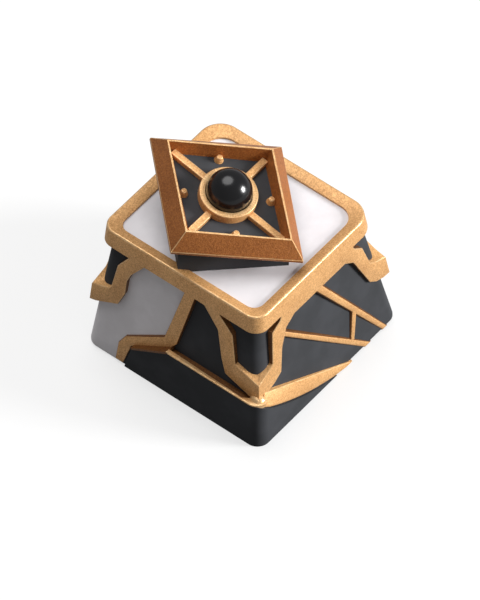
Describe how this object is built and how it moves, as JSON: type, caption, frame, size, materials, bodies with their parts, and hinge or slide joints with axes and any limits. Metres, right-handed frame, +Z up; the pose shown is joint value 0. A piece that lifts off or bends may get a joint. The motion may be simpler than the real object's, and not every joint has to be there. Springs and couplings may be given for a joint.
{
  "type": "artisan keycap",
  "caption": "Artisan resin keycap in dark, white and gold with raised trim, a tilted lozenge crown and a polished black bead",
  "frame": {"origin": "on the base plane, under the middle of the stem and of the square footprint", "axes": "+Z up along the stem, -Y towards the typist, +X to the typist's right"},
  "size_m": [0.0179, 0.0179, 0.0191],
  "materials": {
    "dark_resin": "satin",
    "gold_paint": "grainy metallic paint",
    "white_resin": "satin",
    "black_gloss": "polished"
  },
  "bodies": {
    "root": {"keycap_casting": "dark_resin", "bead": "black_gloss"}
  },
  "joints": []
}
